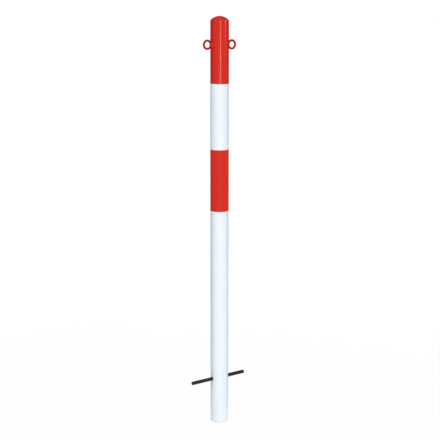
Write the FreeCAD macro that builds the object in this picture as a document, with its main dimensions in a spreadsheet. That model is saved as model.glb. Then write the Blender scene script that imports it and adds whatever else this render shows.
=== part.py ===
import FreeCAD, Part
import math
import os
import Sketcher

# Cast-in barrier post: a coated steel tube that is set in a concrete footing.
# The frame stands on the middle of the tube's foot, +Z up the tube.
# The chain eyes and the anchor rod lie along X. All sizes are in millimetres.

doc = FreeCAD.newDocument("barrier_post")

# Driving dimensions
SIZES = [
    ("tube_outer_dia", 60.0, "outside of the round tube"),
    ("tube_wall", 2.5, "wall of the tube"),
    ("tube_length", 1350.0, "from the foot to the saw cut under the cap"),
    ("tube_deburr", 0.4, "chamfer on the edges of both saw cuts"),
    ("cross_hole_clearance", 1.0, "how much wider the drilled cross holes are than the rod"),
    ("cross_hole_height", 154.6, "from the foot to the middle of the cross holes"),
    ("rod_dia", 12.0, "plain round bar"),
    ("rod_length", 210.0, "cut length of the anchor rod"),
    ("rod_shift", -5.0, "how far the loose rod lies off the middle, along X"),
    ("rod_chamfer", 0.6, "dressed edge of the rod's cut ends"),
    ("rod_seat_gap", 0.1, "between the rod and the bottom of its holes"),
    ("cap_rim_height", 6.5, "upright rim of the cap, flush with the tube"),
    ("cap_dome_rise", 13.4, "from the rim to the top of the dome"),
    ("cap_shoulder_radius", 2.5, "rounding between rim and dome"),
    ("cap_wall", 2.4, "moulded wall of the cap"),
    ("plug_length", 32.0, "length of the cap's plug inside the tube"),
    ("plug_clearance", 1.5, "between the plug's core and the bore"),
    ("plug_lead", 1.5, "chamfer at the plug's leading edge"),
    ("fin_clearance", 0.1, "between the fins' tips and the bore"),
    ("fin_thickness", 1.6, "root of one ring fin"),
    ("fin_count", 4, "ring fins on the plug"),
    ("fin_top_drop", 7.0, "from the rim's underside to the first fin's root"),
    ("fin_mouth_rise", 5.4, "from the plug's mouth to the last fin's root"),
    ("eye_inner_dia", 19.0, "clear opening of a chain eye"),
    ("eye_bar_dia", 7.0, "round bar of a chain eye"),
    ("eye_drop", 70.0, "from the tube's upper end to the middle of the eyes"),
    ("eye_root_gap", 0.5, "weld root between the tube and an eye"),
    ("weld_half_height", 9.5, "half of a bead's length up the tube"),
    ("weld_half_width", 6.8, "half of a bead's width across the tube"),
    ("weld_reach", 5.0, "how far a bead stands out from the tube"),
    ("film_foot", 739.0, "from the tube's foot to the lower edge of the film"),
    ("film_height", 204.0, "width of the reflective film"),
    ("film_bond", 0.1, "adhesive between the tube and the film"),
    ("film_thickness", 0.3, "one layer of the film"),
    ("film_lap", 12.0, "overlap of the film's two ends"),
]

sheet = doc.addObject("Spreadsheet::Sheet", "sizes")
for row, (alias, value, meaning) in enumerate(SIZES, start=1):
    sheet.set(f"A{row}", alias)
    sheet.set(f"B{row}", str(value))
    sheet.set(f"C{row}", meaning)
    sheet.setAlias(f"B{row}", alias)
doc.recompute()

X_AXIS = FreeCAD.Vector(1, 0, 0)
Z_AXIS = FreeCAD.Vector(0, 0, 1)
SAME_PLACE = 1e-3  # two points nearer than this are one
FIRST_GUESS = 10  # diameter of a circle before its dimension takes hold


def size(alias):
    """A driving dimension as a plain number, for the first guess of a sketch."""
    return float(sheet.get(alias))


def in_sheet(expression):
    """An expression whose aliases, in angle brackets, are read from the sheet."""
    for alias, _, _ in SIZES:
        expression = expression.replace(f"<{alias}>", f"sizes.{alias}")
    return expression


def bind(target, path, expression):
    """Ties a property or a sketch constraint to an expression in the sheet's aliases."""
    target.setExpression(path, in_sheet(expression))


def new_body(label):
    """An empty body that becomes one sub-part."""
    body = doc.addObject("PartDesign::Body", label)
    body.Label = label
    return body


def origin_feature(body, role):
    """A plane or an axis of the body's own origin."""
    return next(f for f in body.Origin.OriginFeatures if f.Role == role)


def new_sketch(body, name, plane):
    """A sketch on one of the body's own origin planes."""
    sketch = body.newObject("Sketcher::SketchObject", name)
    sketch.AttachmentSupport = [(origin_feature(body, plane), "")]
    sketch.MapMode = "FlatFace"
    return sketch


def constrain(sketch, name, expression, *definition):
    """Adds a named dimension that starts at the sheet's value and stays tied to it."""
    value = float(sketch.evalExpression(in_sheet(expression)))
    index = sketch.addConstraint(Sketcher.Constraint(*definition, value))
    sketch.renameConstraint(index, name)
    bind(sketch, f"Constraints.{name}", expression)


def add_circle(sketch, name, diameter, height=None):
    """A circle on the sketch's vertical axis, at the origin or at a height above it."""
    start = FreeCAD.Vector(0, 1, 0) if height else FreeCAD.Vector()
    circle = sketch.addGeometry(Part.Circle(start, Z_AXIS, FIRST_GUESS), False)
    if height:
        sketch.addConstraint(Sketcher.Constraint("PointOnObject", circle, 3, -2))
        constrain(sketch, f"{name}_height", height, "DistanceY", -1, 1, circle, 3)
    else:
        sketch.addConstraint(Sketcher.Constraint("Coincident", circle, 3, -1, 1))
    constrain(sketch, f"{name}_dia", diameter, "Diameter", circle)
    return circle


def add_outline(sketch, points):
    """A closed run of straight lines, level or upright where their first guess is."""
    corners = [FreeCAD.Vector(x, y, 0) for x, y in points]
    lines = []
    for start, end in zip(corners, corners[1:] + corners[:1]):
        lines.append(sketch.addGeometry(Part.LineSegment(start, end), False))
    for line, following in zip(lines, lines[1:] + lines[:1]):
        sketch.addConstraint(Sketcher.Constraint("Coincident", line, 2, following, 1))
    for line, start, end in zip(lines, corners, corners[1:] + corners[:1]):
        if abs(start.y - end.y) < SAME_PLACE:
            sketch.addConstraint(Sketcher.Constraint("Horizontal", line))
        elif abs(start.x - end.x) < SAME_PLACE:
            sketch.addConstraint(Sketcher.Constraint("Vertical", line))
    return lines


def place_point(sketch, name, line, end, across=None, up=None):
    """Sets how far a line's end lies from the sketch's origin, across and up."""
    if across:
        constrain(sketch, f"{name}_across", across, "DistanceX", -1, 1, line, end)
    if up:
        constrain(sketch, f"{name}_up", up, "DistanceY", -1, 1, line, end)


def revolve(body, name, sketch):
    """A full turn of a profile about the sketch's upright axis."""
    feature = body.newObject("PartDesign::Revolution", name)
    feature.Profile = sketch
    feature.ReferenceAxis = (sketch, ["V_Axis"])
    feature.Angle = 360
    doc.recompute()
    return feature


def edge_names(feature, wanted):
    """The names of the feature's edges that answer a test."""
    edges = feature.Shape.Edges
    return [f"Edge{i}" for i, edge in enumerate(edges, start=1) if wanted(edge)]


def is_circle(edge):
    """Whether an edge is round. The pole of a dome is an edge with no curve."""
    return not edge.Degenerated and isinstance(edge.Curve, Part.Circle)


def make_post_tube():
    """Round tube with deburred saw cuts and a pair of drilled cross holes near its foot."""
    body = new_body("post_tube")
    section = new_sketch(body, "tube_section", "XY_Plane")
    add_circle(section, "outside", "<tube_outer_dia>")
    add_circle(section, "bore", "<tube_outer_dia> - 2 * <tube_wall>")
    wall = body.newObject("PartDesign::Pad", "tube_wall_pad")
    wall.Profile = section
    bind(wall, "Length", "<tube_length>")
    doc.recompute()

    deburr = body.newObject("PartDesign::Chamfer", "saw_cut_deburr")
    deburr.Base = (wall, edge_names(wall, is_circle))
    bind(deburr, "Size", "<tube_deburr>")
    doc.recompute()

    drilling = new_sketch(body, "cross_hole_sketch", "YZ_Plane")
    add_circle(drilling, "hole", "<rod_dia> + <cross_hole_clearance>", "<cross_hole_height>")
    holes = body.newObject("PartDesign::Pocket", "cross_holes")
    holes.Profile = drilling
    holes.Type = "ThroughAll"
    holes.SideType = "Symmetric"
    doc.recompute()
    if holes.Shape.Volume >= deburr.Shape.Volume:
        raise RuntimeError("the cross holes cut nothing")
    return body


def make_domed_cap():
    """Hollow moulded cap: dome, rounded shoulder, flush rim, and a plug with ring fins."""
    body = new_body("domed_cap")
    outer = size("tube_outer_dia") / 2
    core = outer - size("tube_wall") - size("plug_clearance")
    inner = core - size("cap_wall")
    rim, rise = size("cap_rim_height"), size("cap_dome_rise")
    depth, lead = size("plug_length"), size("plug_lead")

    profile = new_sketch(body, "cap_profile", "XZ_Plane")
    top = rim + rise
    ball = (outer**2 + rise**2) / (2 * rise)
    middle = FreeCAD.Vector(0, top - ball, 0)
    crown, rim_top = FreeCAD.Vector(0, top, 0), FreeCAD.Vector(outer, rim, 0)
    roof = FreeCAD.Vector(0, top - size("cap_wall"), 0)
    spring_height = middle.y + ((ball - size("cap_wall")) ** 2 - inner**2) ** 0.5
    spring = FreeCAD.Vector(inner, spring_height, 0)
    corners = [
        spring,
        FreeCAD.Vector(inner, -depth, 0),
        FreeCAD.Vector(core - lead, -depth, 0),
        FreeCAD.Vector(core, lead - depth, 0),
        FreeCAD.Vector(core, 0, 0),
        FreeCAD.Vector(outer, 0, 0),
        rim_top,
    ]
    lines = []
    for start, end in zip(corners, corners[1:]):
        lines.append(profile.addGeometry(Part.LineSegment(start, end), False))
    inside, mouth, lead_in, plug, seat, side = lines

    def arc_about_middle(first, last):
        """An arc of a circle about the dome's middle, counter-clockwise from first to last."""
        circle = Part.Circle(middle, Z_AXIS, (first - middle).Length)
        return Part.ArcOfCircle(circle, circle.parameter(first), circle.parameter(last))

    dome = profile.addGeometry(arc_about_middle(rim_top, crown), False)
    axis = profile.addGeometry(Part.LineSegment(crown, roof), False)
    ceiling = profile.addGeometry(arc_about_middle(spring, roof), False)

    joins = [(inside, 2, mouth, 1), (mouth, 2, lead_in, 1), (lead_in, 2, plug, 1)]
    joins += [(plug, 2, seat, 1), (seat, 2, side, 1), (side, 2, dome, 1)]
    joins += [(dome, 2, axis, 1), (axis, 2, ceiling, 2), (ceiling, 1, inside, 1)]
    joins += [(dome, 3, ceiling, 3)]
    for join in joins:
        profile.addConstraint(Sketcher.Constraint("Coincident", *join))
    for upright in (inside, plug, side):
        profile.addConstraint(Sketcher.Constraint("Vertical", upright))
    for level in (mouth, seat):
        profile.addConstraint(Sketcher.Constraint("Horizontal", level))
    for on_axis in ((dome, 2), (axis, 2), (dome, 3)):
        profile.addConstraint(Sketcher.Constraint("PointOnObject", *on_axis, -2))
    profile.addConstraint(Sketcher.Constraint("PointOnObject", seat, 1, -1))

    core_radius = "<tube_outer_dia> / 2 - <tube_wall> - <plug_clearance>"
    place_point(profile, "rim", side, 2, "<tube_outer_dia> / 2", "<cap_rim_height>")
    place_point(profile, "crown", dome, 2, up="<cap_rim_height> + <cap_dome_rise>")
    place_point(profile, "plug", plug, 2, across=core_radius)
    constrain(profile, "skin", "<cap_wall>", "DistanceY", axis, 2, axis, 1)
    constrain(profile, "skirt", "<cap_wall>", "DistanceX", inside, 1, plug, 2)
    constrain(profile, "depth", "<plug_length>", "DistanceY", mouth, 1, -1, 1)
    constrain(profile, "lead_across", "<plug_lead>", "DistanceX", lead_in, 1, lead_in, 2)
    constrain(profile, "lead_up", "<plug_lead>", "DistanceY", lead_in, 1, lead_in, 2)
    shell = revolve(body, "cap_shell", profile)

    def is_shoulder(edge):
        """The round edge where the dome springs from the rim."""
        if not is_circle(edge):
            return False
        level, radius = edge.Curve.Center.z, edge.Curve.Radius
        return abs(level - rim) < SAME_PLACE and abs(radius - outer) < SAME_PLACE

    shoulder = body.newObject("PartDesign::Fillet", "cap_shoulder")
    shoulder.Base = (shell, edge_names(shell, is_shoulder))
    bind(shoulder, "Radius", "<cap_shoulder_radius>")
    doc.recompute()

    # One fin is a wedge-shaped ring, rooted inside the plug's wall
    half_skirt = core - size("cap_wall") / 2
    tip = outer - size("tube_wall") - size("fin_clearance")
    drop, thick = size("fin_top_drop"), size("fin_thickness")
    section = new_sketch(body, "fin_section", "XZ_Plane")
    fin_points = [
        (half_skirt, -drop),
        (half_skirt, -drop - thick),
        (tip, -drop - thick / 2),
    ]
    root, under, over = add_outline(section, fin_points)
    root_radius = f"{core_radius} - <cap_wall> / 2"
    tip_radius = "<tube_outer_dia> / 2 - <tube_wall> - <fin_clearance>"
    constrain(section, "root_across", root_radius, "DistanceX", -1, 1, root, 1)
    constrain(section, "root_drop", "<fin_top_drop>", "DistanceY", root, 1, -1, 1)
    constrain(section, "root_thickness", "<fin_thickness>", "DistanceY", root, 2, root, 1)
    constrain(section, "tip_across", tip_radius, "DistanceX", -1, 1, under, 2)
    constrain(section, "tip_drop", "<fin_thickness> / 2", "DistanceY", under, 2, over, 2)
    fin = revolve(body, "ring_fin", section)

    fins = body.newObject("PartDesign::LinearPattern", "ring_fins")
    fins.Originals = [fin]
    fins.Direction = (section, ["V_Axis"])
    fins.Reversed = True
    fin_run = "<plug_length> - <fin_top_drop> - <fin_thickness> - <fin_mouth_rise>"
    bind(fins, "Length", fin_run)
    bind(fins, "Occurrences", "<fin_count>")
    body.Tip = fins
    bind(body, "Placement.Base.z", "<tube_length>")
    return body


def make_anchor_rod():
    """Plain round bar with dressed ends, lying on the bottom of the cross holes."""
    body = new_body("anchor_rod")
    section = new_sketch(body, "rod_section", "YZ_Plane")
    add_circle(section, "rod", "<rod_dia>")
    bar = body.newObject("PartDesign::Pad", "rod_bar")
    bar.Profile = section
    bar.SideType = "Symmetric"
    bind(bar, "Length", "<rod_length>")
    doc.recompute()
    ends = body.newObject("PartDesign::Chamfer", "rod_ends")
    ends.Base = (bar, edge_names(bar, is_circle))
    bind(ends, "Size", "<rod_chamfer>")
    bind(body, "Placement.Base.x", "<rod_shift>")
    resting = "<cross_hole_height> - <cross_hole_clearance> / 2 + <rod_seat_gap>"
    bind(body, "Placement.Base.z", resting)
    return body


def make_reflective_band():
    """Film wrapped once round the tube, with one end lapped over the other at the back."""
    body = new_body("reflective_band")
    section = new_sketch(body, "film_section", "XY_Plane")
    inside = "<tube_outer_dia> + 2 * <film_bond>"
    add_circle(section, "film_outside", f"{inside} + 2 * <film_thickness>")
    add_circle(section, "film_inside", inside)
    wrap = body.newObject("PartDesign::Pad", "film_wrap")
    wrap.Profile = section
    bind(wrap, "Length", "<film_height>")
    doc.recompute()

    lap = new_sketch(body, "lap_section", "XY_Plane")
    inner = size("tube_outer_dia") / 2 + size("film_bond")
    under = inner + size("film_thickness") / 2
    over = inner + 2 * size("film_thickness")
    half_angle = size("film_lap") / 2 / over
    back = math.pi / 2
    arcs = []
    for radius in (under, over):
        circle = Part.Circle(FreeCAD.Vector(), Z_AXIS, radius)
        arc = Part.ArcOfCircle(circle, back - half_angle, back + half_angle)
        arcs.append(lap.addGeometry(arc, False))
    inner_arc, outer_arc = arcs
    ends = []
    for side in (1, 2):
        start, end = (lap.getPoint(arc, side) for arc in arcs)
        line = lap.addGeometry(Part.LineSegment(start, end), False)
        lap.addConstraint(Sketcher.Constraint("Coincident", line, 1, inner_arc, side))
        lap.addConstraint(Sketcher.Constraint("Coincident", line, 2, outer_arc, side))
        ends.append(line)
    for arc in arcs:
        lap.addConstraint(Sketcher.Constraint("Coincident", arc, 3, -1, 1))
    for line in ends:
        lap.addConstraint(Sketcher.Constraint("PointOnObject", -1, 1, line))
    lap.addConstraint(Sketcher.Constraint("Symmetric", outer_arc, 1, outer_arc, 2, -2))
    middle_of_layer = f"({inside}) / 2 + <film_thickness> / 2"
    constrain(lap, "lap_under", middle_of_layer, "Radius", inner_arc)
    second_layer = f"({inside}) / 2 + 2 * <film_thickness>"
    constrain(lap, "lap_over", second_layer, "Radius", outer_arc)
    constrain(lap, "lap_width", "<film_lap>", "DistanceX", outer_arc, 2, outer_arc, 1)
    flap = body.newObject("PartDesign::Pad", "film_lap_pad")
    flap.Profile = lap
    bind(flap, "Length", "<film_height>")
    bind(body, "Placement.Base.z", "<film_foot>")
    return body


def make_eye(side, sign):
    """A closed ring of round bar that stands edge-on beside the tube, and its weld bead.

    The right-hand pair is the left-hand one, turned half round the tube.
    """
    turn = FreeCAD.Rotation(Z_AXIS, 0 if sign < 0 else 180)
    outward = "<tube_outer_dia> / 2 + <eye_root_gap> + <eye_inner_dia> / 2 + <eye_bar_dia>"
    height = "<tube_length> - <eye_drop>"
    ring = doc.addObject("Part::Torus", f"{side}_eye")
    ring.Label = f"{side}_eye"
    bind(ring, "Radius1", "(<eye_inner_dia> + <eye_bar_dia>) / 2")
    bind(ring, "Radius2", "<eye_bar_dia> / 2")
    ring.Placement.Rotation = turn * FreeCAD.Rotation(X_AXIS, 90)
    bind(ring, "Placement.Base.x", f"{sign} * ({outward})")
    bind(ring, "Placement.Base.z", height)

    mound = doc.addObject("Part::Ellipsoid", f"{side}_weld_mound")
    bind(mound, "Radius1", "<weld_half_height>")
    bind(mound, "Radius2", "<weld_reach>")
    bind(mound, "Radius3", "<weld_half_width>")
    mound.Placement.Rotation = turn
    bind(mound, "Placement.Base.x", f"{sign} * <tube_outer_dia> / 2")
    bind(mound, "Placement.Base.z", height)

    core = doc.addObject("Part::Cylinder", f"{side}_weld_core")
    bind(core, "Radius", "<tube_outer_dia> / 2")
    bind(core, "Height", "<tube_length>")
    core.Placement.Rotation = turn

    on_tube = doc.addObject("Part::Cut", f"{side}_weld_on_tube")
    on_tube.Base, on_tube.Tool = mound, core
    bead = doc.addObject("Part::Cut", f"{side}_eye_weld")
    bead.Base, bead.Tool = on_tube, ring
    bead.Label = f"{side}_eye_weld"
    return [ring, bead]


parts = [make_post_tube(), make_domed_cap()]
for side, sign in (("left", -1), ("right", 1)):
    parts += make_eye(side, sign)
parts += [make_reflective_band(), make_anchor_rod()]
doc.recompute()

for item in doc.Objects:
    if "Invalid" in item.State or "Error" in item.State:
        raise RuntimeError(f"{item.Label} failed: {item.State}")
for part in parts:
    if part.Shape.isNull() or not part.Shape.isValid() or len(part.Shape.Solids) != 1:
        raise RuntimeError(f"{part.Label} is not one valid solid")

os.makedirs("parts", exist_ok=True)
for part in parts:
    part.Shape.exportStep(f"parts/{part.Label}.step")
    print(f"{part.Label}: {part.Shape.Volume:.1f} mm3")
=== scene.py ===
import math

import bmesh
import bpy
from mathutils import Euler, Matrix, Vector, noise


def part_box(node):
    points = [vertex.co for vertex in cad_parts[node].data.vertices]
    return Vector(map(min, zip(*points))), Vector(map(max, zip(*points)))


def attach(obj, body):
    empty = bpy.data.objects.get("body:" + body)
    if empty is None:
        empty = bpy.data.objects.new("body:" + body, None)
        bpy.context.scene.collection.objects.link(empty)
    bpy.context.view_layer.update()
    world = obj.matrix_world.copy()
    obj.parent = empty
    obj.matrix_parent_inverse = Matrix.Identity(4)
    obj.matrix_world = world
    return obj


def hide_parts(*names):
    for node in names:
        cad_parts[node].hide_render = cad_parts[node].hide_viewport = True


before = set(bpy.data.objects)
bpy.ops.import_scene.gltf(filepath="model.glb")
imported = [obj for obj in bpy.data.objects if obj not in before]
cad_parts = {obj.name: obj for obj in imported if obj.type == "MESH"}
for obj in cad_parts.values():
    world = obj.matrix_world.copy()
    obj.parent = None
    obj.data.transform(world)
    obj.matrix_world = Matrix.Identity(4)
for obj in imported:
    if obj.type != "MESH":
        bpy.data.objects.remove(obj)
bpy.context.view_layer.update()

bl_info = {
    "name": "Cast-in barrier post",
    "version": (1, 0, 0),
    "blender": (4, 5, 0),
    "location": "3D View > Sidebar > Barrier post",
    "description": "Dresses a round barrier post: tube, cap, chain eyes, film band, anchor rod",
    "category": "Add Mesh",
}

TUBE = [Vector(corner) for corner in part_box("post_tube")]
CAP = [Vector(corner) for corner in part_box("domed_cap")]
EYE = [Vector(corner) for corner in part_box("right_eye")]
WELD = [Vector(corner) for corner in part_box("right_eye_weld")]
FILM = [Vector(corner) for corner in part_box("reflective_band")]
ROD = [Vector(corner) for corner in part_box("anchor_rod")]
UP = Vector((0, 0, 1))
BODY = "root"
SIDES = (("left", -1), ("right", 1))

# Edges that bend more than this stay sharp, and points nearer than this are one
CREASE = math.radians(32)
MERGE_DISTANCE = 0.000002

# Facets of the round forms
ROUND_STEPS = 144
HOLE_STEPS = 72
DOME_STEPS = 28
SHOULDER_STEPS = 10
ROOF_STEPS = 16
RING_STEPS = 112
BAR_STEPS = 40
LAP_STEPS = 30
ROD_STEPS = 72

# The cap's rim, and the ring fins of its plug, counted from the rim and from the plug's mouth
CAP_RIM = 0.0065
FINS = 4
FIN_THICKNESS = 0.0016
FIRST_FIN = 0.007
LAST_FIN = 0.0054
LEAD_IN = 0.0015

# Run-out of the film's free end
FILM_EASE = 0.006

# Refraction of the red coats, which sets how much they mirror
HEAD_IOR = 1.33
EYE_IOR = 1.2


def srgb(red, green, blue):
    """A colour as a screen shows it, in steps of 255, as the linear values that shaders take."""
    parts = [value / 255 for value in (red, green, blue)]
    return [p / 12.92 if p <= 0.04045 else ((p + 0.055) / 1.055) ** 2.4 for p in parts]


def length(name, description, default):
    """A size in metres that the sidebar shows with its unit."""
    return bpy.props.FloatProperty(
        name=name, description=description, default=default, unit="LENGTH", precision=5
    )


def colour(name, description, default):
    """A colour that the sidebar shows as a swatch."""
    return bpy.props.FloatVectorProperty(
        name=name, description=description, default=default, subtype="COLOR", min=0, max=1
    )


class PostSizes(bpy.types.PropertyGroup):
    """Sizes of the post's pieces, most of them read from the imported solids."""

    tube_radius: length("Tube radius", "Outside of the round tube", TUBE[1].x)
    tube_wall: length("Tube wall", "Thickness of the tube's wall", 0.0025)
    tube_height: length("Tube height", "From the foot to the saw cut under the cap", TUBE[1].z)
    tube_deburr: length("Deburr", "Chamfer on the edges of both saw cuts", 0.0004)
    head_foot: length("Head foot", "Height at which the red coat of the head starts", 1.156)
    hole_radius: length("Cross hole radius", "Drilled holes for the anchor rod", 0.0065)
    hole_height: length("Cross hole height", "From the foot to the holes' middle", 0.1546)
    hole_rounding: length("Hole rounding", "Coat-rounded rim of a cross hole", 0.0004)
    cap_rim: length("Cap rim", "Upright rim of the cap", CAP_RIM)
    cap_rise: length("Dome rise", "From rim to top of the dome", CAP[1].z - TUBE[1].z - CAP_RIM)
    cap_shoulder: length("Shoulder", "Rounding between rim and dome", 0.0025)
    cap_edge: length("Cap edge", "Small bevel of the rim at the seam", 0.0003)
    cap_wall: length("Cap wall", "Moulded wall of the cap", 0.0024)
    plug_gap: length("Plug gap", "Between the plug's core and the bore", 0.0015)
    fin_gap: length("Fin gap", "Between the fins' tips and the bore", 0.0001)
    eye_bar: length("Eye bar radius", "Round bar of a chain eye", (EYE[1].y - EYE[0].y) / 2)
    film_layer: length("Film layer", "One layer of the film", 0.0003)
    film_lap: length("Film lap", "Overlap of the film's two ends", 0.012)
    rod_radius: length("Rod radius", "Round bar of the anchor rod", (ROD[1].z - ROD[0].z) / 2)
    rod_chamfer: length("Rod chamfer", "Dressed edge of the rod's cut ends", 0.0006)


class PostColours(bpy.types.PropertyGroup):
    """Colours of the post's finishes."""

    white: colour("White coat", "Coat of the tube", srgb(235, 241, 246))
    red: colour("Red coat", "Coat of the head", srgb(213, 31, 15))
    # Painted shade: the chain eyes take the head's red made darker, standing in for the shade on
    # their thin round bars rather than a thicker coat
    eyes: colour("Eye coat", "Thicker, darker coat of the chain eyes", srgb(177, 23, 15))
    cap: colour("Cap", "Moulded plastic of the cap", srgb(220, 30, 16))
    film: colour("Film", "Reflective film", srgb(225, 46, 28))
    scale: colour("Mill scale", "Skin of the hot-rolled rod", srgb(26, 26, 28))
    cut: colour("Cut steel", "Sawn ends of the rod", srgb(104, 98, 82))
    bore: colour("Bore", "Uncoated wall inside the tube", srgb(92, 93, 95))
    floor: colour("Floor", "Studio floor", (0.93, 0.93, 0.93))


class Socket:
    """A socket of a finish's node tree, on which Python's operators add Math nodes."""

    def __init__(self, tree, socket=None):
        self.tree = tree
        self.socket = socket

    def node(self, kind, settings=None, inputs=None, output=0):
        """Adds a node: first its settings, then the values or links of its sockets."""
        made = self.tree.nodes.new(kind)
        for key, value in (settings or {}).items():
            setattr(made, key, value)
        for key, value in (inputs or {}).items():
            target = pick(made.inputs, key)
            if isinstance(value, Socket):
                self.tree.links.new(value.socket, target)
            else:
                target.default_value = value
        return Socket(self.tree, pick(made.outputs, output)) if made.outputs else None

    def math(self, operation, first, second):
        """One Math node of two values."""
        return self.node("ShaderNodeMath", {"operation": operation}, {0: first, 1: second})

    def __add__(self, other):
        return self.math("ADD", self, other)

    def __radd__(self, other):
        return self.math("ADD", other, self)

    def __sub__(self, other):
        return self.math("SUBTRACT", self, other)

    def __rsub__(self, other):
        return self.math("SUBTRACT", other, self)

    def __mul__(self, other):
        return self.math("MULTIPLY", self, other)

    def __rmul__(self, other):
        return self.math("MULTIPLY", other, self)

    def ramp(self, low, high):
        """Eases from 0 to 1 as the value goes from low to high."""
        limits = {"Value": self, "From Min": low, "From Max": high}
        return self.node("ShaderNodeMapRange", {"interpolation_type": "SMOOTHSTEP"}, limits)

    def noise(self, scale, detail=2.0, roughness=0.5):
        """Soft noise over a place, with a number of waves to the metre."""
        waves = {"Vector": self, "Scale": scale, "Detail": detail, "Roughness": roughness}
        return self.node("ShaderNodeTexNoise", {}, waves, "Fac")

    def stretched(self, along):
        """The same place with each axis drawn out or pressed together."""
        return self.node("ShaderNodeMapping", {}, {"Vector": self, "Scale": along})

    def split(self, axis):
        """One axis of a place."""
        return self.node("ShaderNodeSeparateXYZ", {}, {"Vector": self}, axis)

    def blend(self, first, second):
        """Goes from the first colour to the second as the value goes from 0 to 1."""
        colours = {"Factor": self, "A": opaque(first), "B": opaque(second)}
        return self.node("ShaderNodeMix", {"data_type": "RGBA"}, colours, "Result")

    def bump(self, depth):
        """A surface normal that is raised by the value times a depth in metres."""
        relief = {"Height": self, "Distance": depth, "Strength": 1.0}
        return self.node("ShaderNodeBump", {}, relief)


def pick(sockets, key):
    """A node's socket by number, or by name among those that its settings leave in use."""
    if isinstance(key, int):
        return sockets[key]
    return next(socket for socket in sockets if socket.enabled and socket.name == key)


def opaque(value):
    """A colour with its alpha, or a socket as it is."""
    return value if isinstance(value, Socket) else (*value, 1.0)


def shade(value, share):
    """A colour made lighter or darker by a share."""
    return [min(part * share, 1.0) for part in value]


class Finish:
    """A material with one shader, whose place on the piece feeds its patterns."""

    def __init__(self, name, **constants):
        self.material = bpy.data.materials.new(name)
        self.material.use_nodes = True
        self.tree = self.material.node_tree
        self.shader = self.tree.nodes["Principled BSDF"]
        for key, value in constants.items():
            self.shader.inputs[key.replace("_", " ")].default_value = value
        self.place = Socket(self.tree).node("ShaderNodeTexCoord", output="Object")

    def feed(self, **values):
        """Links what changes over the surface to the shader's sockets."""
        for key, value in values.items():
            self.tree.links.new(value.socket, self.shader.inputs[key.replace("_", " ")])
        return self.material


# Colours that show through or settle on the finishes
WORN_STEEL = srgb(150, 152, 152)
RUST_FRECKLE = srgb(92, 62, 42)
SAW_RUST = srgb(108, 78, 50)
BORE_STAIN = srgb(96, 74, 58)


def white_coat(colours):
    """White powder coat: fine orange peel, faint runs down the tube, scuffed at the foot."""
    finish = Finish("white_coat_finish", IOR=1.45)
    place = finish.place
    peel = place.noise(420, 2.0, 0.45)
    mottle = place.noise(9, 3.0)
    runs = place.stretched((70, 70, 2.5)).noise(1.0, 3.0).ramp(0.5, 0.8)
    worn_edge = place.split("Z") + 0.004 * place.noise(260, 4.0)
    scuff = (1 - worn_edge.ramp(0.0022, 0.0042)) * 0.55
    tone = mottle.ramp(0.3, 0.7).blend(shade(colours.white, 0.975), colours.white)
    tone = (runs * 0.35).blend(tone, shade(colours.white, 0.95))
    tone = scuff.blend(tone, WORN_STEEL)
    gloss = 0.34 + 0.08 * mottle + 0.25 * scuff
    return finish.feed(Base_Color=tone, Roughness=gloss, Normal=peel.bump(0.00003))


def red_coat(name, red, ior):
    """Glossy red coat with a faint orange peel, a little uneven in tone."""
    finish = Finish(name, IOR=ior, Diffuse_Roughness=0.2)
    place = finish.place
    peel = place.noise(380, 2.0, 0.45)
    mottle = place.noise(14, 3.0)
    tone = mottle.ramp(0.3, 0.7).blend(shade(red, 0.965), red)
    gloss = 0.17 + 0.07 * mottle
    return finish.feed(Base_Color=tone, Roughness=gloss, Normal=peel.bump(0.000008))


def cap_plastic(colours):
    """Moulded red plastic with a fine spark-eroded grain."""
    finish = Finish("cap_plastic_finish", IOR=1.42, Diffuse_Roughness=1.0)
    place = finish.place
    grain = place.noise(2600, 3.0, 0.6)
    flow = place.noise(40, 2.0)
    tone = flow.ramp(0.3, 0.7).blend(shade(colours.cap, 0.95), colours.cap)
    gloss = 0.2 + 0.1 * grain
    return finish.feed(Base_Color=tone, Roughness=gloss, Normal=grain.bump(0.000012))


def film_beads(colours):
    """Reflective film: small glass beads under a clear skin, a little uneven in tone."""
    finish = Finish("film_finish", IOR=1.27, Diffuse_Roughness=0.6)
    place = finish.place
    beads = place.node("ShaderNodeTexVoronoi", {}, {"Vector": place, "Scale": 2400}, "Distance")
    cloud = place.noise(22, 3.0)
    tone = beads.ramp(0.1, 0.6).blend(colours.film, shade(colours.film, 0.86))
    tone = (cloud.ramp(0.35, 0.75) * 0.5).blend(tone, shade(colours.film, 0.93))
    gloss = 0.52 + 0.12 * beads
    return finish.feed(Base_Color=tone, Roughness=gloss, Normal=beads.bump(0.00002))


def mill_scale(colours):
    """Dark skin of hot-rolled bar: streaks along the bar and a few rusty freckles."""
    finish = Finish("mill_scale_finish", IOR=1.36)
    place = finish.place
    streaks = place.stretched((14, 260, 260)).noise(1.0, 4.0, 0.6)
    flakes = place.noise(330, 4.0, 0.6)
    freckles = place.noise(120, 5.0, 0.65).ramp(0.6, 0.72) * 0.5
    tone = streaks.ramp(0.35, 0.7).blend(shade(colours.scale, 0.7), shade(colours.scale, 1.6))
    tone = freckles.blend(tone, RUST_FRECKLE)
    gloss = 0.36 + 0.22 * flakes + 0.2 * freckles
    return finish.feed(Base_Color=tone, Roughness=gloss, Normal=flakes.bump(0.00006))


def cut_steel(colours):
    """Sawn end of the bar: bright lines of the blade under a first film of rust."""
    finish = Finish("cut_steel_finish", Metallic=0.5)
    place = finish.place
    lines = place.stretched((1, 60, 1700)).noise(1.0, 2.0)
    rust = place.noise(240, 4.0, 0.6).ramp(0.45, 0.65)
    tone = lines.ramp(0.35, 0.65).blend(shade(colours.cut, 0.75), shade(colours.cut, 1.2))
    tone = (rust * 0.6).blend(tone, SAW_RUST)
    gloss = 0.4 + 0.2 * rust
    return finish.feed(Base_Color=tone, Roughness=gloss, Normal=lines.bump(0.00004))


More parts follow.
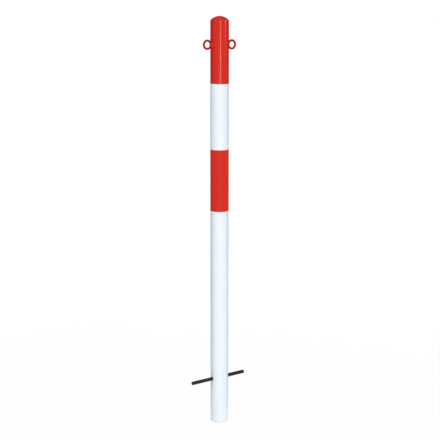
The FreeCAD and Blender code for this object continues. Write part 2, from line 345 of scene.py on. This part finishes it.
def bore_steel(colours):
    """Uncoated wall inside the tube, drawn lengthwise and a little stained."""
    finish = Finish("bore_steel_finish", Metallic=0.4)
    place = finish.place
    drawn = place.stretched((320, 320, 6)).noise(1.0, 4.0, 0.6)
    stain = place.noise(30, 4.0).ramp(0.5, 0.7)
    tone = drawn.ramp(0.3, 0.7).blend(shade(colours.bore, 0.7), colours.bore)
    tone = (stain * 0.5).blend(tone, BORE_STAIN)
    gloss = 0.45 + 0.2 * stain
    return finish.feed(Base_Color=tone, Roughness=gloss, Normal=drawn.bump(0.00003))


def at(radius, height):
    """A point of an outline, in the plane in which it is turned."""
    return Vector((radius, 0, height))


def arc(centre, radius, start, end, steps):
    """Points of a round stretch of an outline, from one angle to another."""
    turns = [start + (end - start) * i / steps for i in range(steps + 1)]
    return [centre + at(radius * math.cos(turn), radius * math.sin(turn)) for turn in turns]


def turned(bm, outline, steps, closed=False, axis=UP, centre=Vector(), angle=math.tau):
    """Turns an outline about an axis, once round or through a part of a turn."""
    verts = [bm.verts.new(point) for point in outline]
    edges = [bm.edges.new(pair) for pair in zip(verts, verts[1:])]
    if closed:
        edges.append(bm.edges.new((verts[-1], verts[0])))
    whole = angle == math.tau
    bmesh.ops.spin(
        bm, geom=verts + edges, cent=centre, axis=axis, angle=angle, steps=steps, use_merge=whole
    )


def settle(bm):
    """Closes seams and poles, and turns the faces outwards."""
    bmesh.ops.remove_doubles(bm, verts=bm.verts, dist=MERGE_DISTANCE)
    bmesh.ops.recalc_face_normals(bm, faces=bm.faces)
    bm.normal_update()


def to_object(context, bm, name):
    """Makes an object of a bmesh and frees it."""
    mesh = bpy.data.meshes.new(name)
    bm.to_mesh(mesh)
    bm.free()
    piece = bpy.data.objects.new(name, mesh)
    context.scene.collection.objects.link(piece)
    return piece


def dress(context, bm, name, node, finishes):
    """Makes a smooth-shaded piece with sharp creases that stands for a CAD node."""
    for face in bm.faces:
        face.smooth = True
    for edge in bm.edges:
        edge.smooth = edge.is_manifold and edge.calc_face_angle() < CREASE
    piece = to_object(context, bm, name)
    for finish in finishes:
        piece.data.materials.append(finish)
    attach(piece, BODY)
    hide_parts(node)


def drilled(context, bm, drill):
    """Cuts one closed mesh out of another and returns what is left as a new bmesh."""
    body = to_object(context, bm, "undrilled")
    tool = to_object(context, drill, "drill")
    cut = body.modifiers.new("cross_holes", "BOOLEAN")
    cut.operation = "DIFFERENCE"
    cut.solver = "EXACT"
    cut.object = tool
    mesh = bpy.data.meshes.new_from_object(body.evaluated_get(context.evaluated_depsgraph_get()))
    left = bmesh.new()
    left.from_mesh(mesh)
    for item in (body, tool):
        bpy.data.meshes.remove(item.data)
    bpy.data.meshes.remove(mesh)
    return left


class POST_OT_add_tube(bpy.types.Operator):
    """Adds the tube: white coat, red head, bare bore and a pair of drilled cross holes"""

    bl_idname = "barrier_post.add_tube"
    bl_label = "Tube"

    def execute(self, context):
        sizes, colours = context.scene.post_sizes, context.scene.post_colours
        outer, chamfer, top = sizes.tube_radius, sizes.tube_deburr, sizes.tube_height
        inner = outer - sizes.tube_wall
        outline = [at(outer - chamfer, 0), at(outer, chamfer), at(outer, sizes.head_foot)]
        outline += [at(outer, top - chamfer), at(outer - chamfer, top), at(inner + chamfer, top)]
        outline += [at(inner, top - chamfer), at(inner, chamfer), at(inner + chamfer, 0)]
        bm = bmesh.new()
        turned(bm, outline, ROUND_STEPS, closed=True)
        settle(bm)

        drill = bmesh.new()
        aim = Matrix.Translation(UP * sizes.hole_height) @ Matrix.Rotation(math.pi / 2, 4, "Y")
        radius = sizes.hole_radius
        bmesh.ops.create_cone(
            drill,
            cap_ends=True,
            segments=HOLE_STEPS,
            radius1=radius,
            radius2=radius,
            depth=3 * outer,
            matrix=aim,
        )
        bm = drilled(context, bm, drill)
        settle(bm)

        near_hole, sharp = 1.1 * radius, 0.6

        def on_rim(edge):
            """Whether an edge lies on the outer rim of a cross hole."""
            middle = (edge.verts[0].co + edge.verts[1].co) / 2
            from_hole = math.hypot(middle.y, middle.z - sizes.hole_height)
            outside = math.hypot(middle.x, middle.y) > outer - sizes.tube_wall / 2
            return outside and from_hole < near_hole and edge.calc_face_angle(0) > sharp

        rims = [edge for edge in bm.edges if on_rim(edge)]
        if not rims:
            raise RuntimeError("the cross holes were not cut")
        bmesh.ops.bevel(
            bm,
            geom=rims,
            offset=sizes.hole_rounding,
            affect="EDGES",
            segments=3,
            profile=0.5,
            material=-1,
        )

        white, red, bare = range(3)
        for face in bm.faces:
            middle = face.calc_center_median()
            if math.hypot(middle.x, middle.y) < inner + chamfer / 2:
                face.material_index = bare
            elif middle.z > sizes.head_foot:
                face.material_index = red
            else:
                face.material_index = white
        head_coat = red_coat("head_coat_finish", colours.red, HEAD_IOR)
        finishes = (white_coat(colours), head_coat, bore_steel(colours))
        dress(context, bm, "coated_tube", "post_tube", finishes)
        return {"FINISHED"}


class POST_OT_add_cap(bpy.types.Operator):
    """Adds the moulded cap: dome, rounded shoulder, rim and finned plug"""

    bl_idname = "barrier_post.add_cap"
    bl_label = "Cap"

    def execute(self, context):
        sizes, colours = context.scene.post_sizes, context.scene.post_colours
        outer, foot, edge = sizes.tube_radius, sizes.tube_height, sizes.cap_edge
        bore = outer - sizes.tube_wall
        core = bore - sizes.plug_gap
        inner = core - sizes.cap_wall
        ball = (outer**2 + sizes.cap_rise**2) / (2 * sizes.cap_rise)
        middle = at(0, foot + sizes.cap_rim + sizes.cap_rise - ball)
        across = outer - sizes.cap_shoulder
        up = math.sqrt((ball - sizes.cap_shoulder) ** 2 - across**2)
        spring = math.atan2(up, across)
        outline = arc(middle, ball, math.pi / 2, spring, DOME_STEPS)
        shoulder = arc(middle + at(across, up), sizes.cap_shoulder, spring, 0, SHOULDER_STEPS)
        outline += shoulder[1:]
        outline += [at(outer, foot + edge), at(outer - edge, foot), at(core, foot)]

        # Ring fins between the rim and the plug's mouth, as on the solid
        mouth = CAP[0].z
        pitch = (foot - mouth - FIRST_FIN - FIN_THICKNESS - LAST_FIN) / (FINS - 1)
        for i in range(FINS):
            root = foot - FIRST_FIN - i * pitch
            tip = at(bore - sizes.fin_gap, root - FIN_THICKNESS / 2)
            outline += [at(core, root), tip, at(core, root - FIN_THICKNESS)]
        outline += [at(core, mouth + LEAD_IN), at(core - LEAD_IN, mouth), at(inner, mouth)]
        roof = ball - sizes.cap_wall
        outline += arc(middle, roof, math.acos(inner / roof), math.pi / 2, ROOF_STEPS)
        bm = bmesh.new()
        turned(bm, outline, ROUND_STEPS)
        settle(bm)
        dress(context, bm, "moulded_cap", "domed_cap", [cap_plastic(colours)])
        return {"FINISHED"}


class POST_OT_add_eyes(bpy.types.Operator):
    """Adds the two chain eyes and the weld beads that carry them"""

    bl_idname = "barrier_post.add_eyes"
    bl_label = "Chain eyes"

    def execute(self, context):
        sizes, colours = context.scene.post_sizes, context.scene.post_colours
        # The eyes' coat is the head's red made darker, as painted shade on the thin bars
        eye_shaded_coat = red_coat("eye_painted_shade_finish", colours.eyes, EYE_IOR)
        bead_coat = red_coat("bead_coat_finish", colours.red, HEAD_IOR)
        middle = (EYE[0] + EYE[1]) / 2
        ring = (EYE[1].x - EYE[0].x) / 2 - sizes.eye_bar
        for side, sign in SIDES:
            centre = Vector((sign * middle.x, 0, middle.z))
            bm = bmesh.new()
            section = Matrix.Translation(centre + Vector((ring, 0, 0)))
            made = bmesh.ops.create_circle(
                bm, segments=BAR_STEPS, radius=sizes.eye_bar, matrix=section
            )
            bmesh.ops.spin(
                bm,
                geom=made["verts"] + list(bm.edges),
                cent=centre,
                axis=(0, 1, 0),
                angle=math.tau,
                steps=RING_STEPS,
                use_merge=True,
            )
            settle(bm)
            dress(context, bm, f"{side}_chain_eye", f"{side}_eye", [eye_shaded_coat])
            self.add_bead(context, side, sign, bead_coat)
        return {"FINISHED"}

    def add_bead(self, context, side, sign, coat):
        """One weld bead: a mound on the tube with the ripples of its run."""
        sizes = context.scene.post_sizes
        reach, root_share = 0.005, 0.7
        half_width = (WELD[1].y - WELD[0].y) / 2
        half_height = (WELD[1].z - WELD[0].z) / 2
        ripple_pitch, ripple_depth, ripple_slant = 0.0021, 0.00016, 0.35
        lump_waves, lump_depth, lump_shift = 300, 0.0003, Vector((7 * sign, 0, 0))
        bm = bmesh.new()
        bmesh.ops.create_uvsphere(bm, u_segments=72, v_segments=64, radius=1)
        bmesh.ops.scale(bm, vec=(reach, half_width, half_height), verts=bm.verts)
        bm.normal_update()
        for vert in bm.verts:
            run = vert.co.z + ripple_slant * abs(vert.co.y)
            ripple = ripple_depth * math.sin(math.tau * run / ripple_pitch)
            lump = lump_depth * noise.noise(vert.co * lump_waves + lump_shift)
            vert.co += vert.normal * (ripple + lump - lump_depth)
        height = (WELD[0].z + WELD[1].z) / 2
        bmesh.ops.translate(bm, vec=(sign * sizes.tube_radius, 0, height), verts=bm.verts)
        sunk = Vector((sign * (sizes.tube_radius - root_share * sizes.tube_wall), 0, 0))
        geometry = list(bm.verts) + list(bm.edges) + list(bm.faces)
        bmesh.ops.bisect_plane(
            bm, geom=geometry, plane_co=sunk, plane_no=(-sign, 0, 0), clear_outer=True
        )
        bmesh.ops.holes_fill(bm, edges=bm.edges)
        settle(bm)
        dress(context, bm, f"{side}_weld_bead", f"{side}_eye_weld", [coat])


class POST_OT_add_film(bpy.types.Operator):
    """Adds the reflective film with its lap at the back"""

    bl_idname = "barrier_post.add_film"
    bl_label = "Reflective film"

    def execute(self, context):
        sizes, colours = context.scene.post_sizes, context.scene.post_colours
        low, high = FILM[0].z, FILM[1].z
        inner, outer = sizes.tube_radius, FILM[1].x
        bm = bmesh.new()
        band = [at(inner, low), at(outer, low), at(outer, high), at(inner, high)]
        turned(bm, band, ROUND_STEPS, closed=True)

        # The free end lies on the first turn and eases down to it on its other side
        lap, ease = sizes.film_lap / outer, FILM_EASE / outer
        start = math.pi / 2 - lap / 2 - ease
        over = outer + sizes.film_layer
        strip = [at(inner, low), at(over, low), at(over, high), at(inner, high)]
        strip = [Matrix.Rotation(start, 3, "Z") @ point for point in strip]
        first = len(bm.verts)
        turned(bm, strip, LAP_STEPS, closed=True, angle=lap + ease)
        bm.verts.ensure_lookup_table()
        for vert in bm.verts[first:]:
            x, y, z = vert.co
            radius = math.hypot(x, y)
            share = min((math.atan2(y, x) - start) / ease, 1.0)
            if radius > outer:
                wanted = outer + sizes.film_layer * share**2 * (3 - 2 * share)
                vert.co = Vector((x * wanted / radius, y * wanted / radius, z))
        ends = [edge for edge in bm.edges if edge.is_boundary]
        bmesh.ops.holes_fill(bm, edges=ends)
        settle(bm)
        dress(context, bm, "film_band", "reflective_band", [film_beads(colours)])
        return {"FINISHED"}


class POST_OT_add_rod(bpy.types.Operator):
    """Adds the loose anchor rod with its sawn ends"""

    bl_idname = "barrier_post.add_rod"
    bl_label = "Anchor rod"

    def execute(self, context):
        sizes, colours = context.scene.post_sizes, context.scene.post_colours
        left, right = ROD[0].x, ROD[1].x
        axis_height = (ROD[0].z + ROD[1].z) / 2
        radius, chamfer = sizes.rod_radius, sizes.rod_chamfer
        half = [(left, 0), (left, radius - chamfer), (left + chamfer, radius)]
        half += [(right - chamfer, radius), (right, radius - chamfer), (right, 0)]
        outline = [Vector((along, 0, axis_height + out)) for along, out in half]
        bm = bmesh.new()
        turned(bm, outline, ROD_STEPS, axis=Vector((1, 0, 0)), centre=axis_height * UP)
        settle(bm)
        scale, sawn = range(2)
        end_facing = 0.9
        for face in bm.faces:
            face.material_index = sawn if abs(face.normal.x) > end_facing else scale
        finishes = (mill_scale(colours), cut_steel(colours))
        dress(context, bm, "round_bar", "anchor_rod", finishes)
        return {"FINISHED"}


# The camera's bearing from the post, and its place and aim, as the photograph shows the post
CAMERA_BEARING = math.radians(-33.715)
CAMERA_DISTANCE = 3.1613
CAMERA_HEIGHT = 1.3724
CAMERA_PITCH = math.radians(11.902)
CAMERA_YAW = math.radians(0.032)
CAMERA_ROLL = math.radians(0.053)
CAMERA_LENS = 79.55
CAMERA_SENSOR = 36.0

# Each lamp's bearing to the right of the camera's, its distance and height, the height on the
# post that it faces, its own width and height, and its power in watts
FILLS = {
    "front_box": (10, 2.4, 0.25, 0.0, 1.5, 0.4, 15.8),
    "top_box": (10, 0.7, 4.2, 0.0, 1.6, 1.6, 50),
    "upper_box": (-15, 1.0, 1.1, 1.0, 0.6, 0.3, 1.3),
    "foot_box": (10, 0.5, 0.05, 0.05, 0.4, 0.1, 0.13),
    "back_box": (180, 2.4, 0.8, 0.75, 1.2, 1.0, 12),
}
STRIPS = {
    "front_strip": (11, 3.0, 0.8, 0.75, 0.2, 1.24, 26),
    "roof_box": (180, 0.6, 3.2, 1.3, 2.4, 2.4, 5),
    "right_strip": (79, 0.85, 1.5, 1.3, 0.055, 0.42, 1.8),
}
FILL_TINT = (1.0, 0.955, 0.93)
STRIP_TINT = (1.0, 0.85, 0.43)
SURROUND_LIGHT = (0.525, 0.57, 0.6)

# The dark flag behind the post, with an apron just off the floor and a roof, which both reach in
# from its wall to a share of its distance
FLAG_START, FLAG_END = 100, 280
FLAG_STEPS = 36
FLAG_DISTANCE = 2.6
FLAG_HEIGHT = 3.5
FLAG_TONE = (0.05, 0.1, 0.17)
APRON_LIFT = 0.001
APRON_SHARE = 0.06
ROOF_SHARE = 0.05

# The dark card on the left
CARD_START, CARD_END = 205, 262
CARD_STEPS = 18
CARD_DISTANCE = 0.9
CARD_HEIGHT = 0.95
CARD_TONE = (0.02, 0.02, 0.02)

# The floor's half width, how far it lies under the foot, and how much of the shadow it keeps,
# from near the post to where it is plain white
FLOOR_REACH = 20
FLOOR_DROP = 0.0004
SHADOW_SHARE = 0.06
SHADOW_NEAR, SHADOW_FAR = 0.3, 1.6


def from_camera(bearing, distance, height):
    """A place round the post, with its bearing counted to the right of the camera's."""
    turn = CAMERA_BEARING + math.radians(bearing)
    return Vector((distance * math.sin(turn), -distance * math.cos(turn), height))


def soft_box(context, name, measures, strip=False):
    """A flat studio lamp: a soft fill, or a warm strip that only the glossy coats show."""
    bearing, distance, height, faces, wide, tall, watts = measures
    lamp = bpy.data.lights.new(name, "AREA")
    lamp.shape = "RECTANGLE"
    lamp.size, lamp.size_y = wide, tall
    lamp.energy = watts
    lamp.color = STRIP_TINT if strip else FILL_TINT
    item = bpy.data.objects.new(name, lamp)
    place = from_camera(bearing, distance, height)
    item.location = place
    item.rotation_euler = (faces * UP - place).to_track_quat("-Z", "Y").to_euler()
    item.visible_camera = False
    item.visible_diffuse = not strip
    item.visible_glossy = strip
    context.scene.collection.objects.link(item)


def seen_directly(tree):
    """1 on rays from the camera, and on those that a mirror or glass sends on, else 0."""
    rays = Socket(tree)
    camera = rays.node("ShaderNodeLightPath", output="Is Camera Ray")
    glossy = rays.node("ShaderNodeLightPath", output="Is Glossy Ray")
    through = rays.node("ShaderNodeLightPath", output="Is Transmission Ray")
    return rays.math("MAXIMUM", rays.math("MAXIMUM", camera, glossy), through)


class POST_OT_add_stage(bpy.types.Operator):
    """Adds the floor, the soft lamps, the white surround and the camera"""

    bl_idname = "barrier_post.add_stage"
    bl_label = "Stage"

    def execute(self, context):
        context.scene.view_settings.view_transform = "Standard"
        self.add_floor(context)
        self.add_surround(context)
        for name, measures in FILLS.items():
            soft_box(context, name, measures)
        for name, measures in STRIPS.items():
            soft_box(context, name, measures, strip=True)
        self.add_flag(context)
        self.add_card(context)
        self.add_camera(context)
        return {"FINISHED"}

    def add_flag(self, context):
        """A dark curved screen, out of sight, that only the glossy coats reflect."""
        bm = bmesh.new()
        foot = from_camera(FLAG_START, FLAG_DISTANCE, 0.0)
        low, high = APRON_LIFT * UP, FLAG_HEIGHT * UP
        edge = [APRON_SHARE * foot + low, foot + low, foot + high, ROOF_SHARE * foot + high]
        turned(bm, edge, FLAG_STEPS, angle=math.radians(FLAG_END - FLAG_START))
        flag = to_object(context, bm, "back_flag")
        finish = Finish("flag_finish", Base_Color=(*FLAG_TONE, 1), Roughness=1.0)
        flag.data.materials.append(finish.material)
        flag.visible_camera = False
        flag.visible_diffuse = False
        flag.visible_shadow = False
        flag.visible_transmission = False

    def add_card(self, context):
        """A dark curved card, out of sight, that takes fill light off the tube's edge."""
        bm = bmesh.new()
        foot = from_camera(CARD_START, CARD_DISTANCE, 0.0)
        edge = [foot, foot + CARD_HEIGHT * UP]
        turned(bm, edge, CARD_STEPS, angle=math.radians(CARD_END - CARD_START))
        card = to_object(context, bm, "left_card")
        finish = Finish("card_finish", Base_Color=(*CARD_TONE, 1), Roughness=1.0)
        card.data.materials.append(finish.material)
        card.visible_camera = False
        card.visible_glossy = False
        card.visible_transmission = False

    def add_floor(self, context):
        """A wide pale floor that shows white but keeps the post's soft shadow."""
        bm = bmesh.new()
        bmesh.ops.create_grid(bm, x_segments=1, y_segments=1, size=FLOOR_REACH)
        bmesh.ops.translate(bm, vec=(0, 0, -FLOOR_DROP), verts=bm.verts)
        floor = to_object(context, bm, "studio_floor")
        material = bpy.data.materials.new("studio_floor_finish")
        material.use_nodes = True
        tree = material.node_tree
        tree.nodes.clear()
        wiring = Socket(tree)
        tone = (*context.scene.post_colours.floor, 1.0)
        matt = wiring.node("ShaderNodeBsdfDiffuse", {}, {"Color": tone})
        glow = wiring.node("ShaderNodeEmission", {}, {"Color": (1, 1, 1, 1), "Strength": 1.0})
        place = wiring.node("ShaderNodeTexCoord", output="Object")
        away = wiring.node("ShaderNodeVectorMath", {"operation": "LENGTH"}, {0: place}, "Value")
        white = 1 - SHADOW_SHARE + SHADOW_SHARE * away.ramp(SHADOW_NEAR, SHADOW_FAR)
        share = seen_directly(tree) * white
        mixed = wiring.node("ShaderNodeMixShader", {}, {0: share, 1: matt, 2: glow})
        wiring.node("ShaderNodeOutputMaterial", {}, {"Surface": mixed})
        floor.data.materials.append(material)

    def add_surround(self, context):
        """White all round for the camera and for reflections, and dimmer as a light."""
        world = bpy.data.worlds.new("studio_surround")
        world.use_nodes = True
        tree = world.node_tree
        tree.nodes.clear()
        wiring = Socket(tree)
        tone = seen_directly(tree).blend(SURROUND_LIGHT, (1, 1, 1))
        glow = wiring.node("ShaderNodeBackground", {}, {"Color": tone, "Strength": 1.0})
        wiring.node("ShaderNodeOutputWorld", {}, {"Surface": glow})
        context.scene.world = world

    def add_camera(self, context):
        """A camera at the photograph's viewing angle."""
        camera = bpy.data.cameras.new("photo_camera")
        camera.lens = CAMERA_LENS
        camera.sensor_width = CAMERA_SENSOR
        item = bpy.data.objects.new("photo_camera", camera)
        item.location = from_camera(0, CAMERA_DISTANCE, CAMERA_HEIGHT)
        level = Euler((math.pi / 2 - CAMERA_PITCH, 0, CAMERA_BEARING - CAMERA_YAW)).to_matrix()
        item.rotation_euler = (level @ Matrix.Rotation(CAMERA_ROLL, 3, "Z")).to_euler()
        context.scene.collection.objects.link(item)
        context.scene.camera = item


class VIEW3D_PT_barrier_post(bpy.types.Panel):
    """Lists the post's pieces and what can be changed on them"""

    bl_label = "Barrier post"
    bl_idname = "VIEW3D_PT_barrier_post"
    bl_space_type = "VIEW_3D"
    bl_region_type = "UI"
    bl_category = "Barrier post"

    def draw(self, context):
        layout = self.layout
        for operator in PIECES:
            layout.operator(operator.bl_idname)
        for group in (context.scene.post_sizes, context.scene.post_colours):
            box = layout.box()
            for name in group.__annotations__:
                box.prop(group, name)


PIECES = (
    POST_OT_add_tube,
    POST_OT_add_cap,
    POST_OT_add_eyes,
    POST_OT_add_film,
    POST_OT_add_rod,
    POST_OT_add_stage,
)
CLASSES = (PostSizes, PostColours, *PIECES, VIEW3D_PT_barrier_post)


def register():
    """Makes the classes known and gives each scene its sizes and colours."""
    for item in CLASSES:
        bpy.utils.register_class(item)
    bpy.types.Scene.post_sizes = bpy.props.PointerProperty(type=PostSizes)
    bpy.types.Scene.post_colours = bpy.props.PointerProperty(type=PostColours)


def unregister():
    """Takes back what register made known."""
    del bpy.types.Scene.post_colours
    del bpy.types.Scene.post_sizes
    for item in reversed(CLASSES):
        bpy.utils.unregister_class(item)


def main():
    """Builds the post and its stage."""
    register()
    bpy.ops.barrier_post.add_tube()
    bpy.ops.barrier_post.add_cap()
    bpy.ops.barrier_post.add_eyes()
    bpy.ops.barrier_post.add_film()
    bpy.ops.barrier_post.add_rod()
    bpy.ops.barrier_post.add_stage()


if __name__ == "__main__":
    main()
